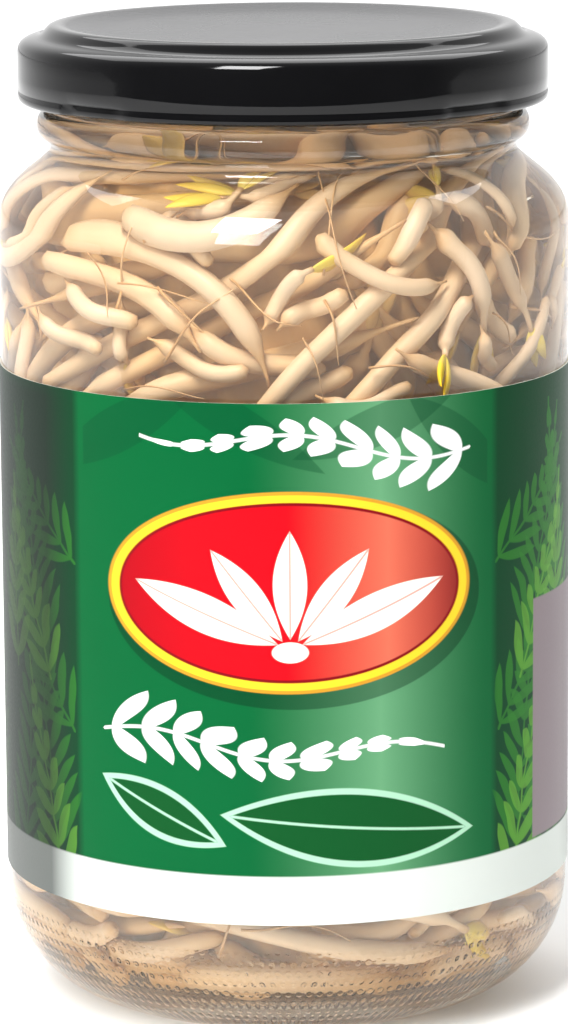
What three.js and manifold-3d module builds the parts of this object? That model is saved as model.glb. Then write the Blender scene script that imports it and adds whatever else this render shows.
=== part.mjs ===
// A jar of mung bean sprouts in brine: a round glass jar with a four-lug twist-off cap, a wrap-around
// paper label, and a tangle of sprouts that fills it to the neck.
//
// Millimetres, +Z up, origin at the centre of the foot, on the surface that the jar stands on.
// The jar is round about Z. -Y is the front of the label.

import * as THREE from "three";
import { mergeVertices } from "three/addons/utils/BufferGeometryUtils.js";
import Module from "manifold-3d";

// ---------------------------------------------------------------- driving dimensions

const AROUND = 48; // facets of every round piece, all in the same phase so that they nest
const CURVE_STEPS = 4; // pieces of a curved stretch of a profile

// Glass.
const BODY_R = 37.25;
const WALL = 2.4;
const LIP_Z = 126.5;
const FOOT_R = 23.0; // outer edge of the ring that the jar stands on
const FOOT_WIDTH = 1.8;
const PUSH_UP = 2.0; // how far the middle of the base is raised
const HEEL_H = 15;
const FLOOR_Z = 4.6;
const SHOULDER_Z = 103.3; // where the straight body ends
const NECK_Z = 112.2; // where the shoulder meets the neck
const NECK_R = 30.5;
const BEAD_Z = 115.5; // middle of the ring below the cap
const BEAD_R = 32.15;
const BEAD_HALF = 2.0;
const FINISH_R = 31.0; // wall that the threads stand on
const MOUTH_R = 28.4;

// Thread and lugs: a lug slides under each rib, and the rib climbs anticlockwise.
const LUGS = 4;
const RIB_R = 32.6;
const RIB_H = 1.5;
const RIB_SPAN = 60; // degrees, a whole number of facets
const RIB_LEAD_IN = 7.5; // degrees of rib on the closed side of a lug
const TURN = 60; // degrees from closed to free
const LIFT = 1.2; // how far the cap climbs over that turn
const LUG_GAP = 0.2; // between a lug and its rib
const FIRST_LUG = 45; // degrees from +X

// Cap, pressed from sheet and shown a little thicker than it is.
const CAP_TOP = 128.5;
const CAP_R = 34.5;
const SHEET = 0.5;
const CURL_H = 1.7; // rolled edge at the foot of the skirt
const CAP_H = 10;
const LUG_IN = 1.0; // how far the rolled edge is pressed inwards at a lug
const LUG_HALF = 7.5; // degrees

// The section of a rib as (standing out, height) from its underside.
const RIB_UNDERSIDE = CAP_TOP - CAP_H + CURL_H + LUG_GAP;
const RIB_SECTION = [[0, 0], [RIB_R - FINISH_R, 0.3], [RIB_R - FINISH_R, 0.9], [0, RIB_H]];

// Label.
const LABEL_LOW = 17.5;
const LABEL_HIGH = 84.5;
const PAPER = 0.2;
const PAPER_GAP = 0.06;
const LAP_AT = 135; // degrees from +X, behind and to one side
const LAP = 9; // degrees of overlap

// Brine: the film and the top layer round the sprouts. GAP keeps every pair of neighbours apart.
const GAP = 0.2;
const FILM = 0.6;
const BRINE_Z = 121.5;
const BRINE_TOP_DEPTH = 1.6;
const BRINE_FACETS = 24;

// Sprouts.
const DRAWN_SPROUTS = 80; // loose ones, before the jammed ones are left out
const SPROUTS = 54; // loose ones, round the outside of the filling
const SIDES = 6;
const STEM_R = 1.95;
const STEM_R_SPREAD = 0.3;
const LENGTH = 58;
const LENGTH_SPREAD = 9;
const LOOSE_DEPTH = 10.6; // thickness of the zone that the loose ones lie in
const PACKED_SPROUTS = 26;
const PACKED_SIDES = 5;
const CORE_DEPTH = 12.2; // from the room's wall to the face of the core
const CORE_FACETS = 16;
const SUNK = 0.5; // how far the centreline of a packed sprout stands off the core
const SPROUT_GAP = 0.34;
const SETTLING_ROUNDS = 300;
const RESETTLING_ROUNDS = 70;
const SHARPEST = 0.9; // radians, the sharpest bend of a settled sprout
const SHORTEST_STEP = 2; // between two of its rings
const GOLDEN = 0.618034; // turns from each course to the next
const SEED = 2;

// ---------------------------------------------------------------- helpers

const wasm = await Module();
wasm.setup();

const radians = THREE.MathUtils.degToRad;

function seededRandom(seed) {
  let state = seed;
  return () => {
    state = (state + 0x6d2b79f5) | 0;
    let t = Math.imul(state ^ (state >>> 15), 1 | state);
    t = (t + Math.imul(t ^ (t >>> 7), 61 | t)) ^ t;
    return ((t ^ (t >>> 14)) >>> 0) / 4294967296;
  };
}

// Turns a closed geometry into a solid that can be joined or cut.
function solidOf(geometry) {
  const bare = geometry.clone();
  bare.deleteAttribute("normal");
  bare.deleteAttribute("uv");
  const merged = mergeVertices(bare, 1e-4);
  return new wasm.Manifold(
    new wasm.Mesh({
      numProp: 3,
      vertProperties: merged.attributes.position.array,
      triVerts: new Uint32Array(merged.index.array),
    }),
  );
}

function geometryOf(solid) {
  const mesh = solid.getMesh();
  const geometry = new THREE.BufferGeometry();
  geometry.setAttribute("position", new THREE.BufferAttribute(mesh.vertProperties, 3));
  geometry.setIndex(new THREE.BufferAttribute(mesh.triVerts, 1));
  geometry.computeVertexNormals();
  return geometry;
}

// Revolves a profile of (radius, height) points about Z.
function revolve(profile, facets = AROUND) {
  const geometry = new THREE.LatheGeometry(profile, facets);
  geometry.rotateX(Math.PI / 2);
  return geometry;
}

// Moves every vertex of a geometry in place.
function reshape(geometry, move) {
  const position = geometry.attributes.position;
  const v = new THREE.Vector3();
  for (let i = 0; i < position.count; i++) {
    move(v.fromBufferAttribute(position, i));
    position.setXYZ(i, v.x, v.y, v.z);
  }
  return geometry;
}

function point(r, z) {
  return new THREE.Vector2(r, z);
}

// ---------------------------------------------------------------- glass

// Part of an ellipse, from its first angle to its second, in degrees.
function arc(centreR, centreZ, halfR, halfZ, from, to) {
  return Array.from({ length: CURVE_STEPS + 1 }, (_, i) => {
    const angle = radians(from + ((to - from) * i) / CURVE_STEPS);
    return point(centreR + halfR * Math.cos(angle), centreZ + halfZ * Math.sin(angle));
  });
}

function curve(...corners) {
  return new THREE.CubicBezierCurve(...corners.map(([r, z]) => point(r, z))).getPoints(CURVE_STEPS);
}

// The inside of the glass from the mouth down to the edge of the floor, drawn in by an inset.
function insidePoints(inset, top) {
  const wallR = BODY_R - WALL - inset;
  const mouthR = MOUTH_R - inset;
  const floorR = FOOT_R - WALL;
  const above = SHOULDER_Z - 1.5;
  return [
    point(mouthR, top),
    ...curve([mouthR, NECK_Z - 1], [mouthR, NECK_Z - 3.2], [wallR, above + 4.9], [wallR, above]),
    ...arc(floorR, HEEL_H, wallR - floorR, HEEL_H - FLOOR_Z - inset, 0, -90),
  ];
}

function outsidePoints() {
  const lipHalf = (FINISH_R - MOUTH_R) / 2;
  return [
    ...curve([0, PUSH_UP], [12, PUSH_UP], [17, PUSH_UP], [FOOT_R - FOOT_WIDTH, 0]),
    ...arc(FOOT_R, HEEL_H, BODY_R - FOOT_R, HEEL_H, -90, 0),
    ...curve([BODY_R, SHOULDER_Z], [BODY_R, SHOULDER_Z + 4.8],
      [NECK_R + 0.8, NECK_Z - 1.8], [NECK_R, NECK_Z]),
    ...arc(NECK_R, BEAD_Z, BEAD_R - NECK_R, BEAD_HALF, -90, 90),
    point(FINISH_R, BEAD_Z + BEAD_HALF),
    ...RIB_SECTION.map(([, up]) => point(FINISH_R, RIB_UNDERSIDE + up)),
    ...arc(FINISH_R - lipHalf, LIP_Z - 1.1, lipHalf, 1.1, 0, 180),
  ];
}

// Degrees from the lug that a thread serves, from one lead-in to the next.
function degreesFromLug(x, y) {
  const degrees = THREE.MathUtils.radToDeg(Math.atan2(y, x)) - FIRST_LUG;
  return THREE.MathUtils.euclideanModulo(degrees + RIB_LEAD_IN, 360 / LUGS) - RIB_LEAD_IN;
}

// The rows of points on the plain wall follow the thread up, and stand out as a rib along its span.
function jarGeometry() {
  const profile = [...outsidePoints(), ...insidePoints(0, LIP_Z - 1.5), point(0, FLOOR_Z)];
  const ribEnd = RIB_SPAN - RIB_LEAD_IN;
  return reshape(revolve(profile), (v) => {
    const r = Math.hypot(v.x, v.y);
    const row = RIB_SECTION.findIndex(([, up]) => Math.abs(v.z - RIB_UNDERSIDE - up) < 0.01);
    if (row < 0 || Math.abs(r - FINISH_R) > 0.01) return;
    const along = degreesFromLug(v.x, v.y);
    const back = (along - ribEnd) / (360 / LUGS - RIB_SPAN);
    const climbing = along <= ribEnd ? along : THREE.MathUtils.lerp(ribEnd, -RIB_LEAD_IN, back);
    v.z += (climbing * LIFT) / TURN;
    const onRib = along > 0.1 - RIB_LEAD_IN && along < ribEnd - 0.1;
    if (!onRib) return;
    const out = 1 + RIB_SECTION[row][0] / r;
    v.x *= out;
    v.y *= out;
  });
}

// ---------------------------------------------------------------- cap and seal

function capProfile() {
  const t = CAP_TOP;
  const skirtIn = CAP_R - SHEET;
  const curlIn = CAP_R - 1.5;
  const foot = t - CAP_H;
  const top = [
    [0, t - 0.9], [24, t - 0.9], [27.8, t - 0.3], [29.3, t], [30.4, t - 0.3], [31.6, t - 1.45],
    [33.7, t - 2.05], [CAP_R, t - 3.0],
  ];
  const curl = [
    [CAP_R, foot + 0.7], [CAP_R - 0.35, foot], [curlIn + 0.4, foot], [curlIn, foot + 0.6],
    [curlIn, foot + CURL_H - 0.5], [skirtIn, foot + CURL_H],
  ];
  const under = [
    [skirtIn, t - 3.2], [33.4, t - 2.55], [31.2, t - 1.95], [30.1, t - 0.85], [29.3, t - SHEET],
    [24.2, t - 0.9 - SHEET], [0, t - 0.9 - SHEET],
  ];
  return [...top, ...curl, ...under].map(([r, z]) => point(r, z)).reverse();
}

// The rolled edge is pressed inwards at each lug, most of all on its inner side.
function capGeometry() {
  const curlTop = CAP_TOP - CAP_H + CURL_H - 0.1;
  return reshape(revolve(capProfile()), (v) => {
    const r = Math.hypot(v.x, v.y);
    if (r < CAP_R - 2 || v.z > curlTop || Math.abs(degreesFromLug(v.x, v.y)) > LUG_HALF + 0.1) return;
    const kept = 1 - (LUG_IN * (r < CAP_R - 0.9 ? 1 : 0.55)) / r;
    v.x *= kept;
    v.y *= kept;
  });
}

// The ring of sealing compound that lies in the channel of the cap, on the lip of the glass.
function sealGeometry() {
  const t = CAP_TOP;
  const low = LIP_Z + 0.06;
  const outline = [
    [28.3, low], [31.0, low], [30.85, t - 1.85], [29.9, t - 1.0], [28.3, t - 1.05], [28.3, low],
  ];
  return revolve(outline.map(([r, z]) => point(r, z)));
}

// ---------------------------------------------------------------- label

// Seen from above the label is a strip bent round the jar, whose last few degrees lie on its first.
function labelGeometry() {
  const inner = BODY_R + PAPER_GAP;
  const step = 360 / AROUND;
  const stops = [LAP_AT - LAP];
  for (let a = Math.ceil(stops[0] / step) * step; a < LAP_AT + 360; a += step) stops.push(a);
  stops.push(LAP_AT + 360);
  // A stop between two corners of the facets lies on the chord that joins them.
  const onFacet = (r, degrees) => {
    const fromMiddle = THREE.MathUtils.euclideanModulo(degrees, step) - step / 2;
    return (r * Math.cos(radians(step / 2))) / Math.cos(radians(fromMiddle));
  };
  const lift = (degrees) => {
    const over = THREE.MathUtils.smoothstep(degrees, LAP_AT + 360 - LAP - 8, LAP_AT + 360 - LAP - 2);
    return over * (PAPER + PAPER_GAP);
  };
  const at = (degrees, extra) => {
    const r = onFacet(inner + extra + lift(degrees), degrees);
    return point(r * Math.cos(radians(degrees)), r * Math.sin(radians(degrees)));
  };
  const outline = [...stops.map((a) => at(a, PAPER)), ...stops.reverse().map((a) => at(a, 0))];
  const strip = new THREE.ExtrudeGeometry(new THREE.Shape(outline), {
    depth: LABEL_HIGH - LABEL_LOW,
    bevelEnabled: false,
  });
  return strip.translate(0, 0, LABEL_LOW);
}

// ---------------------------------------------------------------- brine

function brineGeometry() {
  const under = BRINE_Z - BRINE_TOP_DEPTH;
  const inner = insidePoints(GAP + FILM, under);
  const outer = insidePoints(GAP, BRINE_Z).reverse();
  return revolve([point(0, under), ...inner, ...outer, point(0, BRINE_Z)], BRINE_FACETS);
}

// ---------------------------------------------------------------- sprouts

const ROOM_TOP = BRINE_Z - BRINE_TOP_DEPTH - GAP;
const ROOM_FLOOR = FLOOR_Z + 2 * GAP + FILM;
const roomWall = insidePoints(2 * GAP + FILM, ROOM_TOP).reverse();

// The radius that the sprouts may fill at a height, at the middle of a facet of the brine.
function roomRadius(z) {
  const clamped = THREE.MathUtils.clamp(z, roomWall[0].y, ROOM_TOP);
  const i = Math.max(1, roomWall.findIndex((p) => p.y >= clamped));
  const [a, b] = [roomWall[i - 1], roomWall[i]];
  const share = b.y > a.y ? (clamped - a.y) / (b.y - a.y) : 0;
  return THREE.MathUtils.lerp(a.x, b.x, share) * Math.cos(Math.PI / BRINE_FACETS);
}

// Along a sprout: where each ring of its body is, and how thick it is there as a share of the stem.
// It runs from the tip of the root, through the stem and its thin neck, to the seed leaves.
const WITH_LEAVES = [
  [0, 0.2], [0.13, 0.42], [0.29, 0.95], [0.45, 1], [0.6, 1], [0.75, 0.88], [0.84, 0.5], [0.92, 1.12],
  [1, 0.25],
];
const BARE = [
  [0, 0.2], [0.12, 0.4], [0.27, 0.92], [0.4, 1], [0.53, 1], [0.66, 1], [0.79, 0.98], [0.91, 0.86], [1, 0.6],
];

// A pair of directions across the chain at each point, carried along it without twisting.
function framesAlong(chain) {
  const last = chain.length - 1;
  let side = new THREE.Vector3(chain[0].x, chain[0].y, 0.3).normalize();
  return chain.map((_, i) => {
    const along = chain[Math.min(last, i + 1)].clone().sub(chain[Math.max(0, i - 1)]).normalize();
    side = side.clone().addScaledVector(along, -side.dot(along)).normalize();
    return { side, up: along.clone().cross(side) };
  });
}

// A cylinder whose height is bent along a chain of points, with its own radius at each of them.
function sproutBody({ chain, radii }, sides) {
  const steps = chain.length - 1;
  const frames = framesAlong(chain);
  return reshape(new THREE.CylinderGeometry(1, 1, 1, sides, steps), (v) => {
    const ring = Math.round((v.y + 0.5) * steps);
    const [x, z] = [v.x * radii[ring], v.z * radii[ring]];
    v.copy(chain[ring]).addScaledVector(frames[ring].side, z).addScaledVector(frames[ring].up, x);
  });
}

// The heights of the middles of the sprouts: most above the label, some below it, few behind it.
function drawHeight(random) {
  const band = random();
  if (band < 0.74) return THREE.MathUtils.lerp(88, 114, random());
  if (band < 0.96) return THREE.MathUtils.lerp(7, 13, random());
  return THREE.MathUtils.lerp(26, 76, random());
}

// The line that one sprout or a few side by side take round the wall of the room. The lowest and the
// highest lie round the jar, and those between take any slope.
function drawCourse(random, turn) {
  const height = drawHeight(random);
  const low = height < 22;
  const level = low || height > 107;
  const slopes = low ? 0.3 : level ? 0.6 : 2.3;
  return {
    height,
    level,
    most: low ? 2 : 3,
    angle: turn * 2 * Math.PI + 0.3 * random(),
    slope: (random() - 0.5) * slopes + (random() < 0.5 ? Math.PI : 0),
    bend: (random() - 0.5) * 0.04,
  };
}

// A sprout before it settles, drawn in from the wall by a depth and to one side of the course.
function drawSprout(random, plan, course, aside, depth) {
  const length = (LENGTH + LENGTH_SPREAD * (2 * random() - 1)) * (course.level ? 0.85 : 1);
  const ahead = (random() - 0.5) * 10;
  const slope = course.slope + (random() - 0.5) * 0.16;
  const stem = STEM_R + STEM_R_SPREAD * (2 * random() - 1);
  const chain = plan.map(([share]) => {
    const s = (share - 0.5) * length + ahead;
    const heading = slope + (course.bend * s) / 2;
    const up = course.height + s * Math.sin(heading) + aside * Math.cos(slope);
    const along = s * Math.cos(heading) - aside * Math.sin(slope);
    const z = THREE.MathUtils.clamp(up, ROOM_FLOOR + STEM_R + 1, ROOM_TOP - STEM_R - 1);
    const r = roomRadius(z) - depth;
    const angle = course.angle + along / 30;
    return new THREE.Vector3(r * Math.cos(angle), r * Math.sin(angle), z);
  });
  const rests = plan.map(([share], i) => (i ? (share - plan[i - 1][0]) * length : 0));
  return { chain, rests, radii: plan.map(([, share]) => stem * share) };
}

// The nearest points of two segments, as shares of their lengths.
function nearestShares(p1, q1, p2, q2) {
  const d1 = q1.clone().sub(p1);
  const d2 = q2.clone().sub(p2);
  const r = p1.clone().sub(p2);
  const [a, e, b] = [d1.lengthSq(), d2.lengthSq(), d1.dot(d2)];
  const [c, f] = [d1.dot(r), d2.dot(r)];
  const across = a * e - b * b;
  const clamp01 = (x) => THREE.MathUtils.clamp(x, 0, 1);
  const first = across > 1e-9 ? clamp01((b * f - c * e) / across) : 0.5;
  const t = clamp01((b * first + f) / e);
  return [clamp01((b * t - c) / a), t];
}

// Pushes two sprouts apart wherever they are nearer than they may be, or only the first when the other
// is fixed. Returns whether it moved them.
function keepApart(one, other, fixed, grown) {
  if (!one.box.intersectsBox(other.box)) return false;
  let moved = false;
  for (let i = 1; i < one.chain.length; i++) {
    for (let j = 1; j < other.chain.length; j++) {
      const [p1, q1, p2, q2] = [one.chain[i - 1], one.chain[i], other.chain[j - 1], other.chain[j]];
      const radius1 = Math.max(one.radii[i - 1], one.radii[i]);
      const radius2 = Math.max(other.radii[j - 1], other.radii[j]);
      const least = (radius1 + radius2) * grown + SPROUT_GAP;
      if (p1.distanceTo(p2) > least + p1.distanceTo(q1) + p2.distanceTo(q2)) continue;
      const [s, t] = nearestShares(p1, q1, p2, q2);
      const apart = p1.clone().lerp(q1, s).sub(p2.clone().lerp(q2, t));
      const short = least - apart.length();
      if (short <= 0) continue;
      one.jam = Math.max(one.jam, short);
      other.jam = Math.max(other.jam, short);
      if (apart.length() < 1e-6) apart.set(p1.x, p1.y, 0);
      apart.setLength(short * (fixed ? 1.05 : 0.53));
      p1.addScaledVector(apart, 1 - s);
      q1.addScaledVector(apart, s);
      if (!fixed) p2.addScaledVector(apart, t - 1);
      if (!fixed) q2.addScaledVector(apart, -t);
      moved = true;
    }
  }
  return moved;
}

// How far a point must move outwards to be in the room and off the core.
function outwardsBy(p, radius) {
  const wall = Math.min(roomRadius(p.z), roomRadius(p.z - radius), roomRadius(p.z + radius));
  const most = wall - radius - 0.1;
  const least = Math.min(roomRadius(p.z) - LOOSE_DEPTH + radius, most);
  const r = Math.hypot(p.x, p.y);
  return THREE.MathUtils.clamp(r, least, most) - r;
}

function moveOutwards(p, distance) {
  const r = Math.hypot(p.x, p.y) || 1;
  p.x *= 1 + distance / r;
  p.y *= 1 + distance / r;
}

// Keeps the points of a sprout, and the stretches between them, inside the room and off the core.
// Returns whether any of it had to move more than a hair.
function keepInRoom({ chain, radii }) {
  let most = 0;
  for (let i = 1; i < chain.length; i++) {
    for (const share of [0.25, 0.5, 0.75]) {
      const radius = THREE.MathUtils.lerp(radii[i - 1], radii[i], share);
      const distance = outwardsBy(chain[i - 1].clone().lerp(chain[i], share), radius);
      moveOutwards(chain[i - 1], 1.5 * distance * (1 - share));
      moveOutwards(chain[i], 1.5 * distance * share);
      most = Math.max(most, Math.abs(distance));
    }
  }
  chain.forEach((p, i) => {
    const z = THREE.MathUtils.clamp(p.z, ROOM_FLOOR + radii[i] + 0.1, ROOM_TOP - radii[i] - 0.1);
    const distance = outwardsBy(p, radii[i]);
    most = Math.max(most, Math.abs(distance), Math.abs(z - p.z));
    p.z = z;
    moveOutwards(p, distance);
  });
  return most > 0.03;
}

// Holds the lengths of a sprout's stretches, and straightens it a little where it is bent.
function keepShape({ chain, rests }) {
  for (let i = 1; i < chain.length; i++) {
    const apart = chain[i].clone().sub(chain[i - 1]);
    apart.multiplyScalar((0.3 * (apart.length() - rests[i])) / apart.length());
    chain[i].sub(apart);
    chain[i - 1].add(apart);
  }
  for (let i = 1; i < chain.length - 1; i++) {
    const middle = chain[i - 1].clone().lerp(chain[i + 1], rests[i] / (rests[i] + rests[i + 1]));
    chain[i].lerp(middle, 0.12);
  }
}

// The box that a sprout stays in during one round.
function boxAround({ chain }) {
  return new THREE.Box3().setFromPoints(chain).expandByScalar(1.3 * STEM_R + 1);
}

// Lets the loose sprouts push each other aside until none touches another or a packed one. They may
// start thinner than they are, so that crossed ones slip past each other first.
function settle(loose, packed, rounds, thickness) {
  for (let round = 0; round < rounds; round++) {
    const grown = Math.min(1, thickness + (1.5 * round) / rounds);
    const springy = round < rounds * 0.7;
    if (springy) loose.forEach(keepShape);
    for (const sprout of loose) {
      sprout.jam = 0;
      sprout.box = boxAround(sprout);
    }
    let moved = false;
    loose.forEach((one, i) => {
      for (const other of loose.slice(i + 1)) moved = keepApart(one, other, false, grown) || moved;
      for (const other of packed) moved = keepApart(one, other, true, grown) || moved;
    });
    for (const sprout of loose) moved = keepInRoom(sprout) || moved;
    if (!moved && !springy) break;
  }
}

// Whether a sprout has been bent back on itself or bunched up.
function isFolded({ chain }) {
  const steps = chain.slice(1).map((p, i) => p.clone().sub(chain[i]));
  const sharp = steps.some((step, i) => i > 0 && step.angleTo(steps[i - 1]) > SHARPEST);
  return sharp || steps.some((step) => step.length() < SHORTEST_STEP);
}

// Settles the loose sprouts, and leaves out the most jammed one for as long as there is one.
function settleWithoutJams(drawn, packed) {
  const loose = [...drawn];
  settle(loose, packed, SETTLING_ROUNDS, 0.25);
  for (;;) {
    const worst = loose.reduce((one, other) => (other.jam > one.jam ? other : one));
    if (worst.jam < SPROUT_GAP / 3) return loose.filter((sprout) => !isFolded(sprout)).slice(0, SPROUTS);
    loose.splice(loose.indexOf(worst), 1);
    settle(loose, packed, RESETTLING_ROUNDS, 1);
  }
}

// The packed ones lie on the face of the core, and have fewer rings.
function drawPacked() {
  const random = seededRandom(SEED + 1);
  const plan = BARE.filter((_, i) => i % 2 === 0);
  return Array.from({ length: PACKED_SPROUTS }, (_, i) => {
    const sprout = drawSprout(random, plan, drawCourse(random, i * GOLDEN), 0, CORE_DEPTH - SUNK);
    for (const p of sprout.chain) p.z = THREE.MathUtils.clamp(p.z, ROOM_FLOOR + 1.6, ROOM_TOP - 4.4);
    sprout.box = boxAround(sprout);
    return sprout;
  });
}

// The loose ones lie singly, in pairs and in threes side by side.
function drawLoose() {
  const random = seededRandom(SEED);
  const sprouts = [];
  for (let i = 0; sprouts.length < DRAWN_SPROUTS; i++) {
    const course = drawCourse(random, i * GOLDEN);
    const together = 1 + Math.floor(course.most * random());
    const depth = STEM_R + 0.4 + random() * (LOOSE_DEPTH - 2 * STEM_R - 0.6);
    for (let k = 0; k < together; k++) {
      const plan = random() < 0.45 ? WITH_LEAVES : BARE;
      const aside = (k - (together - 1) / 2) * 2.3 * STEM_R;
      sprouts.push(drawSprout(random, plan, course, aside, depth));
    }
  }
  return sprouts;
}

// The middle of the filling: a core that follows the room, with the packed sprouts sunk into its face.
function packedGeometry(packed) {
  const low = ROOM_FLOOR + 0.4;
  const high = ROOM_TOP - 3.2;
  const heights = [low, 9, 14, 98, 104, 110, high];
  const face = (z) => roomRadius(z + 1) - CORE_DEPTH;
  const profile = [point(0, low), ...heights.map((z) => point(face(z), z)), point(0, high)];
  let filling = solidOf(revolve(profile, CORE_FACETS));
  for (const sprout of packed) filling = filling.add(solidOf(sproutBody(sprout, PACKED_SIDES)));
  const [largest] = filling.decompose().sort((one, other) => other.volume() - one.volume());
  return geometryOf(largest); // without loose scraps, and with the hollows between sprouts filled
}

// ---------------------------------------------------------------- the object

const glass = new THREE.MeshStandardMaterial({
  color: 0xdfe8e0,
  roughness: 0.03,
  metalness: 0,
  transparent: true,
  opacity: 0.3,
});
const lacquer = new THREE.MeshStandardMaterial({ color: 0x0b0b0c, roughness: 0.25, metalness: 0.2 });
const compound = new THREE.MeshStandardMaterial({ color: 0xd9d3c4, roughness: 0.7, metalness: 0 });
const paper = new THREE.MeshStandardMaterial({ color: 0x0a7a3e, roughness: 0.4, metalness: 0 });
const liquid = new THREE.MeshStandardMaterial({
  color: 0xe6d3b0,
  roughness: 0.05,
  metalness: 0,
  transparent: true,
  opacity: 0.3,
});
const stem = new THREE.MeshStandardMaterial({ color: 0xe3d0b4, roughness: 0.45, metalness: 0 });

function named(name, geometry, material) {
  const mesh = new THREE.Mesh(geometry, material);
  mesh.name = name;
  return mesh;
}

const packed = drawPacked();
const loose = settleWithoutJams(drawLoose(), packed);

const jarOfSprouts = new THREE.Group();
jarOfSprouts.add(named("jar", jarGeometry(), glass));
jarOfSprouts.add(named("lid", capGeometry(), lacquer));
jarOfSprouts.add(named("lid_seal", sealGeometry(), compound));
jarOfSprouts.add(named("label", labelGeometry(), paper));
jarOfSprouts.add(named("brine", brineGeometry(), liquid));
jarOfSprouts.add(named("packed_sprouts", packedGeometry(packed), stem));
loose.forEach((sprout, i) => {
  const name = `sprout_${String(i + 1).padStart(2, "0")}`;
  jarOfSprouts.add(named(name, sproutBody(sprout, SIDES), stem));
});

export default jarOfSprouts;
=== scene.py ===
import math
import random

import bmesh
import bpy
from mathutils import Matrix, Vector


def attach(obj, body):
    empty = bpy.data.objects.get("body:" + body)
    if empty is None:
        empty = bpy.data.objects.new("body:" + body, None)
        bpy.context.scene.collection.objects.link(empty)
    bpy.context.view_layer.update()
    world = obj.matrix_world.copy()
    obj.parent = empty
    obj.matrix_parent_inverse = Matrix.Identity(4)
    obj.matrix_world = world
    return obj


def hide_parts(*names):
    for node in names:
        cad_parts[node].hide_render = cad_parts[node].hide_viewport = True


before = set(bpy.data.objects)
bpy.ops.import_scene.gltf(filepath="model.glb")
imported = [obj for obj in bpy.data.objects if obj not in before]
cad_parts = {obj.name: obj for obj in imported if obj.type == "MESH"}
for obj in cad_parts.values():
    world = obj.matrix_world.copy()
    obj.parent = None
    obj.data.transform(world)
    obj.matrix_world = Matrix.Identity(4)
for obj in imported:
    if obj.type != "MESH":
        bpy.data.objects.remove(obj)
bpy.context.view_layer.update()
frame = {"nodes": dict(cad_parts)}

MM = 0.001

# ------------------------ dimensions, in millimetres

# A name that ends in _R is a radius, _Z a height over the floor and _H a height of its own.
BODY_R = 37.25
WALL = 2.4
HEEL_H = 15.0
FOOT_R = 23.0
PUNT_Z = 2.0
FLOOR_Z = 4.6
SHOULDER_Z = 103.3
NECK_Z = 112.2
NECK_R = 30.5
BEAD_Z, BEAD_R, BEAD_HALF = 115.5, 32.15, 2.0
FINISH_R, MOUTH_R, LIP_Z = 31.0, 28.4, 126.5
CAP_TOP, CAP_R, CAP_H = 128.5, 34.5, 10.0
FLAT_TOP_R = 29.4
LABEL_LOW, LABEL_HIGH = 17.5, 84.5
BRINE_Z = 121.5
GLASS_FACES, BRINE_FACES, CAP_FACES, SEAL_FACES, CORE_FACES = 192, 160, 240, 128, 192  # once round

# The thread: how far each row of a rib stands out, and how high above the rib's underside it lies.
RIB_ROWS = [(0, 0), (0.8, 0.17), (1.4, 0.3), (1.6, 0.5), (1.6, 0.75), (1.35, 1.02), (0.8, 1.22), (0, 1.5)]
RIB_UNDERSIDE = CAP_TOP - CAP_H + 1.9
LUGS = 4
RIB_SPAN, RIB_LEAD_IN, RIB_TAPER, FIRST_LUG, LUG_HALF, LUG_FOOT = 60.0, 7.5, 7.5, 45.0, 6.5, 11.0  # degrees
CURL_PRESSED, SKIRT_PRESSED = 1.0, 0.5  # how far a lug is pressed in
CLIMB = 1.2 / 60  # millimetres a degree


# ------------------------ node helpers

class Nodes:
    """A node tree with short calls for adding nodes and linking them."""

    def __init__(self, tree):
        self.tree = tree

    def add(self, kind, inputs=None, **settings):
        node = self.tree.nodes.new(kind)
        for key, value in settings.items():
            setattr(node, key, value)
        for key, value in (inputs or {}).items():
            self.feed(node.inputs[key], value)
        return node

    def feed(self, socket, value):
        if isinstance(value, bpy.types.NodeSocket):
            self.tree.links.new(value, socket)
        elif isinstance(value, bpy.types.Node):
            self.tree.links.new(value.outputs[0], socket)
        else:
            socket.default_value = value

    def math(self, operation, *values, clamp=False):
        """Clamps with two more nodes, because the node's own clamp fills the stack of a long shader."""
        node = self.add("ShaderNodeMath", operation=operation)
        for socket, value in zip(node.inputs, values):
            self.feed(socket, value)
        if clamp:
            return self.math("MINIMUM", self.math("MAXIMUM", node.outputs[0], 0.0), 1.0)
        return node.outputs[0]

    def length(self, x, y):
        return self.math("SQRT", self.math("ADD", self.math("MULTIPLY", x, x), self.math("MULTIPLY", y, y)))

    def mix(self, factor, a, b):
        node = self.add("ShaderNodeMix", data_type="RGBA")
        self.feed(node.inputs[0], factor)
        self.feed(node.inputs[6], a)
        self.feed(node.inputs[7], b)
        return node.outputs[2]

    def ramp(self, factor, stops):
        node = self.add("ShaderNodeValToRGB")
        elements = node.color_ramp.elements
        elements[0].position, elements[0].color = stops[0]
        elements[1].position, elements[1].color = stops[-1]
        for position, colour in stops[1:-1]:
            elements.new(position).color = colour
        self.feed(node.inputs[0], factor)
        return node.outputs[0]

    def noise(self, vector, scale, detail):
        settings = {"Vector": vector, "Scale": scale, "Detail": detail, "Roughness": 0.55}
        return self.add("ShaderNodeTexNoise", settings).outputs[0]

    def bump(self, height, strength, distance):
        node = self.add("ShaderNodeBump", {"Strength": strength, "Distance": distance})
        self.feed(node.inputs["Height"], height)
        return node.outputs["Normal"]


def rgb(r, g, b):
    """A colour given as 0 to 255 sRGB, made linear."""
    def linear(c):
        c /= 255
        return c / 12.92 if c <= 0.04045 else ((c + 0.055) / 1.055) ** 2.4
    return (linear(r), linear(g), linear(b), 1.0)


def new_material(name):
    material = bpy.data.materials.new(name)
    material.use_nodes = True
    nodes = Nodes(material.node_tree)
    shader = material.node_tree.nodes["Principled BSDF"]
    return material, nodes, shader


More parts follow.
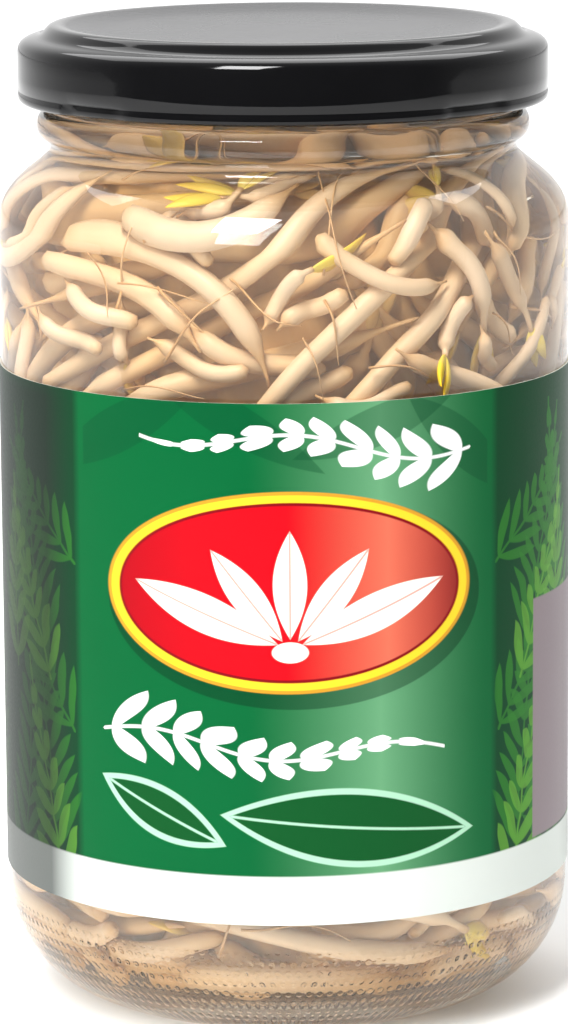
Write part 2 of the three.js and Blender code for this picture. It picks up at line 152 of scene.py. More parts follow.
def object_coordinates(nodes):
    return nodes.add("ShaderNodeTexCoord").outputs["Object"]


def mottle_group():
    """Two tones that run into each other, and the mask that they are mixed by."""
    tree = bpy.data.node_groups.new("mottle", "ShaderNodeTree")
    for name, in_out, kind in (
        ("Scale", "INPUT", "NodeSocketFloat"), ("Detail", "INPUT", "NodeSocketFloat"),
        ("First Tone", "INPUT", "NodeSocketColor"), ("Second Tone", "INPUT", "NodeSocketColor"),
        ("Color", "OUTPUT", "NodeSocketColor"), ("Mask", "OUTPUT", "NodeSocketFloat"),
    ):
        tree.interface.new_socket(name=name, in_out=in_out, socket_type=kind)
    nodes = Nodes(tree)
    given = nodes.add("NodeGroupInput").outputs
    mask = nodes.noise(object_coordinates(nodes), given["Scale"], given["Detail"])
    tones = nodes.mix(mask, given["First Tone"], given["Second Tone"])
    nodes.add("NodeGroupOutput", {"Color": tones, "Mask": mask})
    return tree


MOTTLE = mottle_group()


def mottled(nodes, scale, detail, first, second):
    """Places the group in a material, and returns its colour and its mask."""
    values = {"Scale": scale, "Detail": detail, "First Tone": first, "Second Tone": second}
    return nodes.add("ShaderNodeGroup", values, node_tree=MOTTLE).outputs[:]


# ------------------------ mesh helpers

def finish_mesh(name, bm, material, smooth_angle=None):
    """Turns a bmesh into an object, smooth shaded, with edges sharper than an angle kept sharp."""
    mesh = bpy.data.meshes.new(name)
    for face in bm.faces:
        face.smooth = True
    if smooth_angle is not None:
        for edge in bm.edges:
            if len(edge.link_faces) == 2 and edge.calc_face_angle(0) > smooth_angle:
                edge.smooth = False
    bm.to_mesh(mesh)
    bm.free()
    piece = bpy.data.objects.new(name, mesh)
    bpy.context.scene.collection.objects.link(piece)
    piece.data.materials.append(material)
    return piece


def spun(profile, steps):
    """Spins (radius, height) points round Z. An outline that starts off the axis is closed to a ring."""
    bm = bmesh.new()
    points = [bm.verts.new((r * MM, 0, z * MM)) for r, z in profile]
    edges = [bm.edges.new(pair) for pair in zip(points, points[1:])]
    if profile[0][0] > 0:
        edges.append(bm.edges.new((points[-1], points[0])))
    bmesh.ops.spin(bm, geom=points + edges, cent=(0, 0, 0), axis=(0, 0, 1), angle=2 * math.pi,
                   steps=steps, use_merge=True)
    bmesh.ops.remove_doubles(bm, verts=bm.verts, dist=1e-6)
    bmesh.ops.recalc_face_normals(bm, faces=bm.faces)
    return bm


def arc(centre_r, centre_z, half_r, half_z, start, end, steps):
    """Points on an oval, from one angle in degrees to another."""
    points = []
    for i in range(steps + 1):
        angle = math.radians(start + (end - start) * i / steps)
        points.append((centre_r + half_r * math.cos(angle), centre_z + half_z * math.sin(angle)))
    return points


def curve(a, b, c, d, steps):
    """Points on a curve from a to d that sets out towards b and comes in from c."""
    points = []
    for i in range(steps + 1):
        t = i / steps
        weights = ((1 - t) ** 3, 3 * t * (1 - t) ** 2, 3 * t * t * (1 - t), t ** 3)
        points.append(tuple(sum(w * p[k] for w, p in zip(weights, (a, b, c, d))) for k in (0, 1)))
    return points


def straight(a, b, steps):
    (r0, z0), (r1, z1) = a, b
    return [(r0 + (r1 - r0) * i / steps, z0 + (z1 - z0) * i / steps) for i in range(steps + 1)]


# ------------------------ the glass

def inside_profile(inset, top):
    """From the mouth down to the middle of the floor."""
    wall_r = BODY_R - WALL - inset
    mouth_r = MOUTH_R - inset
    floor_r = FOOT_R - WALL
    above = SHOULDER_Z - 1.5
    return (
        [(mouth_r, top)]
        + curve((mouth_r, NECK_Z - 1), (mouth_r, NECK_Z - 3.2), (wall_r, above + 4.9), (wall_r, above), 14)
        + arc(floor_r, HEEL_H, wall_r - floor_r, HEEL_H - FLOOR_Z - inset, 0, -90, 14)
        + [(0, FLOOR_Z + inset)]
    )


def outside_profile():
    """From the middle of the punt, up the outside and over the lip."""
    lip_half, lip_round = (FINISH_R - MOUTH_R) / 2, 1.1
    return (
        curve((0, PUNT_Z), (12, PUNT_Z), (17, PUNT_Z), (FOOT_R - 1.8, 0), 12)
        + arc(FOOT_R, HEEL_H, BODY_R - FOOT_R, HEEL_H, -90, 0, 20)
        + curve((BODY_R, SHOULDER_Z), (BODY_R, SHOULDER_Z + 4.8), (NECK_R + 0.8, NECK_Z - 1.8),
                (NECK_R, NECK_Z), 16)
        + arc(NECK_R, BEAD_Z, BEAD_R - NECK_R, BEAD_HALF, -90, 90, 12)
        + [(FINISH_R, BEAD_Z + BEAD_HALF + 0.3)]
        + [(FINISH_R, RIB_UNDERSIDE + up) for _, up in RIB_ROWS]
        + arc(FINISH_R - lip_half, LIP_Z - lip_round, lip_half, lip_round, 0, 180, 8)
    )


def glass_jar(material):
    bm = spun(outside_profile() + inside_profile(0, LIP_Z - 1.5), GLASS_FACES)
    raise_threads(bm)
    return finish_mesh("glass", bm, material)


def brine(material):
    """The liquid, whose sides reach a hair into the glass so that no air shows between them."""
    overlap = 0.12
    profile = [(0, BRINE_Z)] + inside_profile(-overlap, BRINE_Z)
    return finish_mesh("liquid", spun(profile, BRINE_FACES), material)


def degrees_from_lug(x, y):
    """Degrees from the lug that a thread serves, from one lead-in to the next."""
    degrees = math.degrees(math.atan2(y, x)) - FIRST_LUG
    return (degrees + RIB_LEAD_IN) % (360 / LUGS) - RIB_LEAD_IN


def smooth(edge0, edge1, x):
    """Goes softly from 0 to 1 as x goes from one edge to the other."""
    t = min(max((x - edge0) / (edge1 - edge0), 0), 1)
    return t * t * (3 - 2 * t)


def raise_threads(bm):
    """Carries the rows of the plain wall up along the thread, and stands them out as rounded ribs."""
    end = RIB_SPAN - RIB_LEAD_IN
    for v in bm.verts:
        r, z = math.hypot(v.co.x, v.co.y) / MM, v.co.z / MM
        if abs(r - FINISH_R) > 0.01:
            continue
        row = next((row for row in RIB_ROWS if abs(z - RIB_UNDERSIDE - row[1]) < 0.01), None)
        if row is None:
            continue
        along = degrees_from_lug(v.co.x, v.co.y)
        back = (along - end) / (360 / LUGS - RIB_SPAN)
        climbing = along if along <= end else end - (end + RIB_LEAD_IN) * back
        v.co.z += climbing * CLIMB * MM
        whole = smooth(-RIB_LEAD_IN, -RIB_LEAD_IN + RIB_TAPER, along) * smooth(end, end - RIB_TAPER, along)
        v.co.xy *= 1 + row[0] * whole / r


# ------------------------ the cap and its seal

def cap_profile():
    """From the middle of the sunk top, over the rim, down the skirt, round the curl and back inside."""
    t = CAP_TOP
    foot = t - CAP_H
    top = [(0, t - 0.9), (12, t - 0.9), (22.6, t - 0.9), (24.2, t - 0.82), (26, t - 0.55), (27.8, t - 0.27)]
    top += curve((27.8, t - 0.27), (29.0, t), (29.9, t), (30.4, t - 0.3), 6)[1:]
    top += curve((30.4, t - 0.3), (31.0, t - 0.8), (31.2, t - 1.35), (31.9, t - 1.55), 5)[1:]
    top += curve((31.9, t - 1.55), (33.6, t - 1.85), (CAP_R, t - 2.2), (CAP_R, t - 3.6), 8)[1:]
    skirt = straight((CAP_R, t - 3.6), (CAP_R, foot + 1.75), 3)[1:]
    groove = [(CAP_R - 0.12, foot + 1.6), (CAP_R - 0.12, foot + 1.45), (CAP_R, foot + 1.3)]
    curl = arc(CAP_R - 0.75, foot + 0.75, 0.75, 0.75, 0, -180, 10)
    curl += [(CAP_R - 1.5, foot + 1.2), (CAP_R - 1.2, foot + 1.6), (CAP_R - 0.5, foot + 1.7)]
    under = [(CAP_R - 0.5, t - 3.2), (33.4, t - 2.55), (31.2, t - 1.95), (30.1, t - 0.85), (29.3, t - 0.5),
             (24.2, t - 1.4), (0, t - 1.4)]
    return top + skirt + groove + curl + under


def black_cap(material):
    """The cap, whose curl is pressed in to a lug at four places."""
    bm = spun(cap_profile(), CAP_FACES)
    foot = CAP_TOP - CAP_H
    for v in bm.verts:
        r, z = math.hypot(v.co.x, v.co.y) / MM, v.co.z / MM
        if r < CAP_R - 2 or z > foot + 1.72:
            continue
        away = abs(degrees_from_lug(v.co.x, v.co.y))
        pressed = CURL_PRESSED if r < CAP_R - 0.9 else SKIRT_PRESSED
        v.co.xy *= 1 - pressed * (1 - smooth(LUG_HALF, LUG_FOOT, away)) / r
    return finish_mesh("cap", bm, material, math.radians(50))


def seal_ring(material):
    t, low = CAP_TOP, LIP_Z + 0.06
    outline = [(28.3, low + 0.1), (28.4, low), (30.9, low), (31.0, low + 0.1),
               (30.85, t - 1.85), (29.9, t - 1.0), (28.4, t - 1.05)]
    return finish_mesh("sealing_ring", spun(outline, SEAL_FACES), material, math.radians(40))


# ------------------------ the label

def label_wrap(material):
    """A flat strip, given its thickness, and then bent round the jar so that its ends lap."""
    lap_at, lap, front, step_up = 135.0, 9.0, 270.0, 6.0
    degrees, under_end = 360 + lap, lap_at + 360 - lap
    paper, gap = 0.2, 0.06
    bm = bmesh.new()
    bmesh.ops.create_grid(bm, x_segments=246, y_segments=10, size=0.5)
    flat = bm.loops.layers.uv.new("flat")
    back = bm.verts.layers.float.new("back")
    bmesh.ops.solidify(bm, geom=bm.verts[:] + bm.edges[:] + bm.faces[:], thickness=0.001)
    low = min(v.co.z for v in bm.verts)
    for face in bm.faces:
        for loop in face.loops:
            angle = lap_at - lap + (loop.vert.co.x + 0.5) * degrees
            u = math.radians(angle - front) * BODY_R
            v = LABEL_LOW + (loop.vert.co.y + 0.5) * (LABEL_HIGH - LABEL_LOW)
            loop[flat].uv = (u / 100, v / 100)
    for v in bm.verts:
        angle = lap_at - lap + (v.co.x + 0.5) * degrees
        outer = (v.co.z - low) > 0.0005
        v[back] = 0.0 if outer else 1.0
        over = smooth(under_end - step_up, under_end - 1, angle) * (paper + gap)
        r = BODY_R + gap + over + (paper if outer else 0)
        z = LABEL_LOW + (v.co.y + 0.5) * (LABEL_HIGH - LABEL_LOW)
        v.co = Vector((r * math.cos(math.radians(angle)), r * math.sin(math.radians(angle)), z)) * MM
    bmesh.ops.recalc_face_normals(bm, faces=bm.faces)
    return finish_mesh("paper_label", bm, material, math.radians(40))


# ------------------------ the sprouts

# The room that the sprouts lie in: inside the walls of the brine, and under its top.
ROOM_TOP = BRINE_Z - 1.6 - 0.2
ROOM_FLOOR = FLOOR_Z + 1.0
ROOM_WALL = inside_profile(1.0, ROOM_TOP)[:-1][::-1]

LOOSE_SHARE = 0.82  # how thick a loose stem is, as a share of its CAD solid
STEM_SEED, THREAD_SEED = 5, 7
LEAFY_SHARE = 0.24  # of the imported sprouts
THREADS = 70
LINE_POINTS = 26  # along a packed sprout
BEND_R = 28  # the radius at which a packed sprout's length is measured
OVER_LABEL, UNDER_LABEL, BEHIND_LABEL = (84, 118), (5, 19), (19, 84)
LEVEL_UNDER, LEVEL_OVER = 20, 112  # below the one and above the other they lie nearly level
CORE_DEPTH = 9.2  # from the room's wall to the core
CORE_ROWS, CORE_STEP = 73, 1.5

# Packed sprouts, one row a pass: tries, least and greatest depth under the wall, shortest and longest,
# thinnest and thickest radius, and how near two lines may come as a share of their radii together.
PACKING = [
    (1600, 5.6, 8.4, 26, 50, 1.4, 1.8, 0.78),
    (2600, 5.4, 8.2, 12, 24, 1.3, 1.7, 0.76),
    (1500, 2.2, 5.0, 24, 46, 1.3, 1.7, 0.84),
    (2400, 1.9, 4.8, 14, 28, 1.1, 1.5, 0.82),
    (2400, 1.8, 4.6, 7, 14, 0.9, 1.3, 0.80),
]


def rings_of(node):
    """The centres and radii of the rings of a swept CAD sprout, from its root to its other end."""
    bm = bmesh.new()
    bm.from_mesh(node.data)
    bmesh.ops.remove_doubles(bm, verts=bm.verts, dist=2e-6)
    bm.verts.index_update()
    tip = next(v for v in bm.verts
               if max((e.other_vert(v).co - v.co).length for e in v.link_edges) < 1.5 * MM)
    seen, ring, rings = {tip}, [tip], []
    while ring:
        ring = sorted({e.other_vert(v) for v in ring for e in v.link_edges} - seen, key=lambda v: v.index)
        seen.update(ring)
        if len(ring) > 1:
            centre = sum((v.co for v in ring), Vector()) / len(ring)
            radius = sum((v.co - centre).length for v in ring) / len(ring)
            rings.append((centre, radius))
    bm.free()
    return rings if rings[1][1] < rings[-2][1] else rings[::-1]


def through(points, steps):
    """A smooth line through points, sampled evenly from point to point."""
    padded = [2 * points[0] - points[1]] + list(points) + [2 * points[-1] - points[-2]]
    line = []
    for a, b, c, d in zip(padded, padded[1:], padded[2:], padded[3:]):
        for i in range(steps):
            t = i / steps
            line.append(0.5 * (2 * b + (c - a) * t + (2 * a - 5 * b + 4 * c - d) * t * t
                               + (3 * b - 3 * c + d - a) * t ** 3))
    return line + [points[-1]]


class Sprouts:
    """A mesh that sprouts are swept into, with how far along each point lies and a tone for each."""

    def __init__(self, seed):
        self.whole = self.fresh()
        self.random = random.Random(seed)

    def fresh(self):
        bm = bmesh.new()
        for name in ("along", "tone", "leaf"):
            bm.verts.layers.float.new(name)
        return bm

    def keep(self, bm, values):
        """Adds one closed body to the whole, with its values of along, tone and leaf for each point."""
        for v in bm.verts:
            for name, value in values(v).items():
                v[bm.verts.layers.float[name]] = value
        bmesh.ops.recalc_face_normals(bm, faces=bm.faces)
        body = bpy.data.meshes.new("body")
        bm.to_mesh(body)
        bm.free()
        self.whole.from_mesh(body)
        bpy.data.meshes.remove(body)

    def sweep(self, line, radii, sides, tone, reach=1.0):
        """A tube along a line, from a ring that is extruded and moved on, closed at both ends."""
        bm = self.fresh()
        ring = bmesh.ops.create_circle(bm, cap_ends=True, segments=sides, radius=1)["verts"]
        ring_edges = bm.edges[:]
        side = (line[1] - line[0]).orthogonal().normalized()
        count, share_of = len(line), {}
        for i, (point, radius) in enumerate(zip(line, radii)):
            if i:
                made = bmesh.ops.extrude_edge_only(bm, edges=ring_edges)["geom"]
                grown = {v for v in made if isinstance(v, bmesh.types.BMVert)}
                ring_edges = [e for e in made if isinstance(e, bmesh.types.BMEdge)
                              and e.verts[0] in grown and e.verts[1] in grown]
                ring = [next(e.other_vert(v) for e in v.link_edges if e.other_vert(v) in grown)
                        for v in ring]
            ahead = (line[min(i + 1, count - 1)] - line[max(i - 1, 0)]).normalized()
            side = (side - ahead * side.dot(ahead)).normalized()
            up = ahead.cross(side)
            for k, v in enumerate(ring):
                a = 2 * math.pi * k / sides
                v.co = point + (side * math.cos(a) + up * math.sin(a)) * radius
                share_of[v] = reach * i / (count - 1)
        bmesh.ops.holes_fill(bm, edges=ring_edges, sides=0)
        self.keep(bm, lambda v: {"along": share_of[v], "tone": tone})
        return side

    def seed_leaf(self, base, ahead, side, length, width, tone):
        """One pointed seed leaf: a ball drawn out to a point at each end, flattened and bowed."""
        bm = self.fresh()
        bmesh.ops.create_uvsphere(bm, u_segments=10, v_segments=11, radius=1)
        out = ahead.cross(side)
        share_of = {}
        for v in bm.verts:
            x, y, z = v.co
            share = share_of[v] = (z + 1) / 2
            full = math.sin(math.pi * share ** 0.8) ** 0.8 / (math.hypot(x, y) or 1)
            bow = 0.35 * width * math.sin(math.pi * share)
            v.co = base + ahead * (share * length) + side * (x * full * width)
            v.co += out * (y * full * width * 0.42 + bow)
        self.keep(bm, lambda v: {"along": 1.0, "tone": tone, "leaf": 0.25 + 0.75 * share_of[v]})


def stem_radius(share, radius, leafy):
    """How thick a sprout is along its length: a thread of root, a plump stem, and a thin neck."""
    root = 0.16 + 0.84 * smooth(0.05, 0.20, share)
    if leafy:
        return radius * root * (1 - 0.62 * smooth(0.74, 0.86, share))
    return radius * root * (1 - 0.16 * smooth(0.84, 0.97, share)) * (1 - 0.75 * smooth(0.985, 1.0, share))


def seed_leaves(bunch, line, side, length, width, tone):
    """The pair of seed leaves at the end of a sprout, a little apart."""
    ahead = (line[-1] - line[-3]).normalized()
    for turn in (-1, 1):
        lean = Matrix.Rotation(turn * bunch.random.uniform(0.12, 0.3), 3, ahead.cross(side))
        bunch.seed_leaf(line[-1] - ahead * 0.0004, lean @ ahead, (lean @ side) * turn, length, width, tone)


def loose_sprouts(frame, material, room):
    """Each loose sprout again along its own CAD line, smooth, with its root and its seed leaves."""
    for name in sorted(n for n in frame["nodes"] if n.startswith("sprout_")):
        rings = rings_of(frame["nodes"][name])
        bunch = Sprouts(name)
        rng = bunch.random
        centres = [centre for centre, _ in rings]
        middle = sorted(radius for _, radius in rings)[len(rings) // 2]
        leafy = rings[-2][1] > 1.05 * rings[-4][1]
        line = through(centres, 6)
        count = len(line)
        phase = [rng.uniform(0, 6.28) for _ in range(4)]
        stem = middle * LOOSE_SHARE
        radii = []
        for i in range(count):
            share = i / (count - 1)
            uneven = 1 + 0.04 * math.sin(9 * share + phase[0]) + 0.025 * math.sin(23 * share + phase[1])
            radii.append(stem_radius(share, stem, leafy) * uneven)
            thread = (1 - smooth(0.05, 0.3, share)) * 0.6 * MM
            swing = Vector((math.sin(24 * share + phase[2]), math.cos(21 * share + phase[3]), 0))
            line[i] += swing * thread
        if leafy:
            cut = int(count * 0.9)
            line, radii = line[:cut], radii[:cut]
        radii[0] *= 0.4
        tone = rng.random()
        side = bunch.sweep(line, radii, 14, tone)
        if leafy:
            seed_leaves(bunch, line, side, (centres[-1] - line[-1]).length * 1.05, stem * 0.7, tone)
        room.take(line, radii)
        piece = finish_mesh("fine_" + name, bunch.whole, material)
        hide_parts(name)
        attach(piece, "jar")


def room_radius(z):
    """How far the room reaches from the middle at a height."""
    z = min(max(z, ROOM_WALL[0][1]), ROOM_TOP)
    for (r0, z0), (r1, z1) in zip(ROOM_WALL, ROOM_WALL[1:]):
        if z1 >= z:
            return r0 + (r1 - r0) * ((z - z0) / (z1 - z0) if z1 > z0 else 0)
    return ROOM_WALL[-1][0]


class Room:
    """Remembers where sprouts already lie, in cells a little wider than a sprout."""

    def __init__(self):
        self.cells = {}
        self.cell_size = 4 * MM

    def cell(self, point):
        return tuple(math.floor(c / self.cell_size) for c in point)

    def take(self, line, radii):
        for point, radius in zip(line, radii):
            self.cells.setdefault(self.cell(point), []).append((point, radius))

    def is_free(self, line, radii, squeeze):
        for point, radius in list(zip(line, radii))[::2]:
            x, y, z = self.cell(point)
            for i in (x - 1, x, x + 1):
                for j in (y - 1, y, y + 1):
                    for k in (z - 1, z, z + 1):
                        for other, thick in self.cells.get((i, j, k), ()):
                            if (other - point).length < (radius + thick) * squeeze:
                                return False
        return True


def lying_line(rng, height, slope, angle, depth, length):
    """A line that bends over the wall of the jar at some depth, up or down at a slope."""
    bend, phase, points = rng.uniform(-0.05, 0.05), rng.uniform(0, 6.28), []
    for k in range(LINE_POINTS):
        share = k / (LINE_POINTS - 1)
        s = (share - 0.5) * length
        heading = slope + bend * s / 2
        z = height + s * math.sin(heading) + 0.8 * math.sin(5 * share + phase)
        z = min(max(z, ROOM_FLOOR + 2.0), ROOM_TOP - 2.4)
        r = room_radius(z) - depth + 0.9 * math.sin(6 * share + 2 * phase)
        a = angle + s * math.cos(heading) / BEND_R
        points.append(Vector((r * math.cos(a), r * math.sin(a), z)) * MM)
    return points


def packed_height(rng):
    """Most packed sprouts lie where the glass is bare."""
    band = rng.random()
    return rng.uniform(*(OVER_LABEL if band < 0.68 else UNDER_LABEL if band < 0.92 else BEHIND_LABEL))


def packed_sprouts(seed, material, room):
    """The sprouts between and behind the loose ones, laid at random slopes where there is room."""
    bunch = Sprouts(seed)
    rng = bunch.random
    for tries, near, far, shortest, longest, thin, thick, squeeze in PACKING:
        for _ in range(tries):
            height = packed_height(rng)
            level = height < LEVEL_UNDER or height > LEVEL_OVER
            slope = rng.uniform(-1, 1) * (0.35 if level else 1.5) + (math.pi if rng.random() < 0.5 else 0)
            length = rng.uniform(shortest, longest)
            angle, depth = rng.uniform(0, 2 * math.pi), rng.uniform(near, far)
            line = lying_line(rng, height, slope, angle, depth, length)
            leafy = rng.random() < LEAFY_SHARE
            radius = rng.uniform(thin, thick)
            radii = [stem_radius(k / (LINE_POINTS - 1), radius, leafy) * MM for k in range(LINE_POINTS)]
            if not room.is_free(line, radii, squeeze):
                continue
            room.take(line, radii)
            tone = rng.random()
            side = bunch.sweep(line, radii, 8, tone)
            if leafy:
                seed_leaves(bunch, line, side, rng.uniform(5, 9) * MM, rng.uniform(0.9, 1.4) * MM, tone)
    return finish_mesh("packed_stems", bunch.whole, material)


def root_threads(seed, material):
    """Loose brown threads of root that lie over the stems."""
    bunch = Sprouts(seed)
    rng = bunch.random
    for _ in range(THREADS):
        height = rng.uniform(*OVER_LABEL) if rng.random() < 0.7 else rng.uniform(7, 84)
        slope = rng.uniform(-1.5, 1.5) * (0.3 if height > LEVEL_OVER else 1.0)
        angle, depth, length = rng.uniform(0, 2 * math.pi), rng.uniform(1.1, 2.6), rng.uniform(7, 18)
        line = lying_line(rng, height, slope, angle, depth, length)[::2]
        radius = rng.uniform(0.13, 0.24) * MM
        radii = [radius * (1 - 0.05 * i) for i in range(len(line))]
        bunch.sweep(line, radii, sides=5, tone=rng.random(), reach=0.12)
    return finish_mesh("root_threads", bunch.whole, material)


def filling_core(material):
    """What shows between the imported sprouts: a core with slanting ridges as thick as stems."""
    heights = [ROOM_FLOOR + 0.6 + CORE_STEP * i for i in range(CORE_ROWS)]
    side = [(room_radius(z + 1) - CORE_DEPTH, z) for z in heights]
    bm = spun([(0, heights[0])] + side + [(0, heights[-1])], CORE_FACES)
    for v in bm.verts:
        turn, height = math.atan2(v.co.y, v.co.x), v.co.z / MM
        ridge = math.sin(26 * turn + 0.5 * height + 1.5 * math.sin(3 * turn + 0.09 * height))
        v.co.xy *= 1 + 0.035 * ridge
    return finish_mesh("packed_core", bm, material)


# ------------------------ materials

def clear_to_shadows(material, nodes, shader, tint):
    """Lets lamps shine through a clear material, tinted, in place of a black shadow."""
    output = material.node_tree.nodes["Material Output"]
    path = nodes.add("ShaderNodeLightPath")
    passing = nodes.add("ShaderNodeBsdfTransparent", {"Color": tint})
    unseen = nodes.math("MAXIMUM", path.outputs["Is Shadow Ray"], path.outputs["Is Diffuse Ray"])
    choice = nodes.add("ShaderNodeMixShader")
    nodes.feed(choice.inputs[0], unseen)
    nodes.feed(choice.inputs[1], shader)
    nodes.feed(choice.inputs[2], passing)
    nodes.feed(output.inputs["Surface"], choice)


def jar_glass():
    material, nodes, shader = new_material("jar_glass")
    nodes.feed(shader.inputs["Base Color"], (0.975, 0.99, 0.98, 1))
    nodes.feed(shader.inputs["Transmission Weight"], 1.0)
    nodes.feed(shader.inputs["IOR"], 1.5)
    place = nodes.add("ShaderNodeSeparateXYZ", {"Vector": object_coordinates(nodes)})
    x, y, z = place.outputs
    waviness = nodes.noise(object_coordinates(nodes), 45.0, 2.0)
    dots = stipple(nodes, x, y, z)
    height = nodes.math("ADD", nodes.math("MULTIPLY", waviness, 0.2), dots)
    nodes.feed(shader.inputs["Normal"], nodes.bump(height, 0.7, 0.00006))
    nodes.feed(shader.inputs["Roughness"], nodes.math("MULTIPLY", waviness, 0.02))
    clear_to_shadows(material, nodes, shader, (0.97, 0.985, 0.975, 1))
    return material


def stipple(nodes, x, y, z):
    """Rows of round beads round the heel: how far each point stands up, from 0 to 1."""
    around, pitch, bead_r, low, high = 168, 1.42 * MM, 0.30, 2.6 * MM, 13.4 * MM
    turn = nodes.math("DIVIDE", nodes.math("ARCTAN2", y, x), 2 * math.pi)
    row = nodes.math("DIVIDE", z, pitch)
    odd = nodes.math("MULTIPLY", nodes.math("MODULO", nodes.math("FLOOR", row), 2.0), 0.5)
    column = nodes.math("ADD", nodes.math("MULTIPLY", turn, around), odd)
    across = nodes.math("SUBTRACT", nodes.math("FRACT", column), 0.5)
    up = nodes.math("SUBTRACT", nodes.math("FRACT", row), 0.5)
    away = nodes.length(across, up)
    slope = nodes.math("MULTIPLY", nodes.math("SUBTRACT", bead_r, away), 5.0, clamp=True)
    bead = nodes.math("SUBTRACT", nodes.math("MULTIPLY", slope, 2.0), nodes.math("MULTIPLY", slope, slope))
    inside = nodes.math("MULTIPLY", nodes.math("GREATER_THAN", z, low), nodes.math("LESS_THAN", z, high))
    return nodes.math("MULTIPLY", bead, inside)


def brine_liquid():
    material, nodes, shader = new_material("brine_liquid")
    tint, _ = mottled(nodes, 60.0, 2.0, (0.99, 0.925, 0.825, 1), (0.98, 0.90, 0.78, 1))
    nodes.feed(shader.inputs["Base Color"], tint)
    nodes.feed(shader.inputs["Transmission Weight"], 0.965)
    nodes.feed(shader.inputs["IOR"], 1.333)
    nodes.feed(shader.inputs["Roughness"], 0.0)
    clear_to_shadows(material, nodes, shader, (0.99, 0.975, 0.94, 1))
    return material


def brine_depth_and_neck_shade(nodes, place):
    """How tan the brine turns what lies in it, and how near that is to the neck or the foot: near the neck
    this is painted shade under the cap, and towards the foot it is only darker.

    The tan grows from a small depth under the wall, which narrows at the shoulder.
    """
    neck_from, foot_from = 105 * MM, 17 * MM
    x, y, z = nodes.add("ShaderNodeSeparateXYZ", {"Vector": place}).outputs
    reach = nodes.length(x, y)
    narrower, untouched = 6.4 * MM, 2.4 * MM
    narrowing = nodes.math("MULTIPLY", nodes.math("SUBTRACT", z, (SHOULDER_Z - 1) * MM), 110.0, clamp=True)
    wall = nodes.math("SUBTRACT", (BODY_R - WALL) * MM, nodes.math("MULTIPLY", narrowing, narrower))
    depth = nodes.math("SUBTRACT", nodes.math("SUBTRACT", wall, reach), untouched)
    # Painted shade: stems near the neck turn browner, as if shaded by the cap; lower down they turn darker
    # towards the foot.
    high = nodes.math("MULTIPLY", nodes.math("SUBTRACT", z, neck_from), 90.0, clamp=True)
    low = nodes.math("MULTIPLY", nodes.math("SUBTRACT", foot_from, z), 60.0, clamp=True)
    ends = nodes.math("MAXIMUM", high, low)
    inner = nodes.math("MULTIPLY", depth, 200.0, clamp=True)
    return nodes.math("MULTIPLY", nodes.math("MAXIMUM", inner, ends), 0.85), ends


def sprout_flesh():
    """Pale stems, browner at the root thread and deep in the brine, with painted shade near the neck,
    darker towards the foot, and with yellow seed leaves.
    """
    material, nodes, shader = new_material("sprout_flesh")
    along = nodes.add("ShaderNodeAttribute", attribute_name="along").outputs["Fac"]
    tone = nodes.add("ShaderNodeAttribute", attribute_name="tone").outputs["Fac"]
    leaf = nodes.add("ShaderNodeAttribute", attribute_name="leaf").outputs["Fac"]
    place = object_coordinates(nodes)
    body = nodes.ramp(along, [
        (0.0, rgb(176, 126, 78)), (0.1, rgb(196, 152, 110)), (0.22, rgb(213, 185, 160)),
        (0.6, rgb(219, 192, 169)), (0.9, rgb(213, 183, 154)), (1.0, rgb(192, 150, 108)),
    ])
    warm = nodes.mix(nodes.math("MULTIPLY", tone, 0.4), body, rgb(208, 172, 134))
    patches = nodes.noise(place, 160.0, 2.0)
    blotch = nodes.math("MULTIPLY", nodes.math("SUBTRACT", patches, 0.48, clamp=True), 0.8)
    speckled = nodes.mix(blotch, warm, rgb(190, 150, 112))
    yellow = nodes.ramp(leaf, [
        (0.0, rgb(216, 198, 128)), (0.4, rgb(224, 198, 70)), (1.0, rgb(226, 184, 32)),
    ])
    with_leaf = nodes.mix(nodes.math("GREATER_THAN", leaf, 0.05), speckled, yellow)
    brine_tan_and_neck_shade, ends = brine_depth_and_neck_shade(nodes, place)
    # Painted shade near the neck, and darker towards the foot: the tan turns browner there.
    tan = nodes.mix(ends, rgb(218, 172, 114), rgb(178, 126, 68))
    nodes.feed(shader.inputs["Base Color"], nodes.mix(brine_tan_and_neck_shade, with_leaf, tan))
    nodes.feed(shader.inputs["Roughness"], nodes.math("ADD", 0.35, nodes.math("MULTIPLY", patches, 0.2)))
    nodes.feed(shader.inputs["Specular IOR Level"], 0.25)
    fine = nodes.noise(place, 900.0, 1.0)
    relief = nodes.math("ADD", patches, nodes.math("MULTIPLY", fine, 0.4))
    nodes.feed(shader.inputs["Normal"], nodes.bump(relief, 0.35, 0.0002))
    return material


def black_lacquer():
    """Black stoving lacquer: smooth on the skirt, with a fine grain on the flat of the top."""
    material, nodes, shader = new_material("black_lacquer")
    place = object_coordinates(nodes)
    x, y, _ = nodes.add("ShaderNodeSeparateXYZ", {"Vector": place}).outputs
    reach = nodes.length(x, y)
    flat_top = nodes.math("MULTIPLY", nodes.math("SUBTRACT", FLAT_TOP_R * MM, reach), 700.0, clamp=True)
    grain = nodes.noise(place, 1000.0, 2.0)
    black, broad = mottled(nodes, 90.0, 3.0, (0.0022, 0.0022, 0.0026, 1), (0.005, 0.005, 0.0055, 1))
    nodes.feed(shader.inputs["Base Color"], nodes.mix(flat_top, black, (0.03, 0.03, 0.032, 1)))
    smoothness = nodes.math("ADD", 0.05, nodes.math("MULTIPLY", broad, 0.04))
    roughness = nodes.math("ADD", smoothness, nodes.math("MULTIPLY", flat_top, 0.2))
    nodes.feed(shader.inputs["Roughness"], roughness)
    nodes.feed(shader.inputs["Specular IOR Level"], 0.28)
    depth = nodes.math("ADD", 0.04, nodes.math("MULTIPLY", flat_top, 0.5))
    nodes.feed(shader.inputs["Normal"], nodes.bump(grain, depth, 0.00008))
    return material


